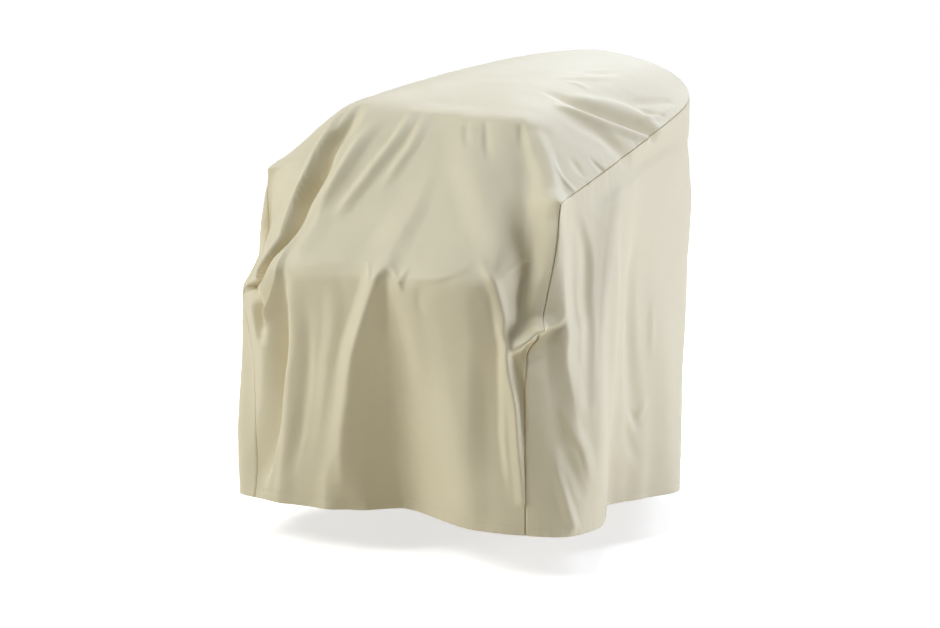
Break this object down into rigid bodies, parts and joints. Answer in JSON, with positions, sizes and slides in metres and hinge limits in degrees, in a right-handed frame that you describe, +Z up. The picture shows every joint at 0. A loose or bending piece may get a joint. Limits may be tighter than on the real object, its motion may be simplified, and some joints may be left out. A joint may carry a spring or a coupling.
{
  "type": "lounge chair cover",
  "caption": "Open-bottomed fabric hood with a domed top, a sloping draped front and a wrapped side and back, for covering a low-backed chair.",
  "frame": {"origin": "the place under the top where the carrying furniture holds the cover, on the cover's centre plane", "axes": "+X across the cover, +Y from the draped front to the rounded back, +Z up"},
  "size_m": [0.8603, 1.0034, 0.9129],
  "materials": {
    "cover_cloth": "matt pale beige close-woven cloth"
  },
  "bodies": {
    "root": {"top_front_panel": "cover_cloth", "side_back_panel": "cover_cloth"}
  },
  "joints": []
}
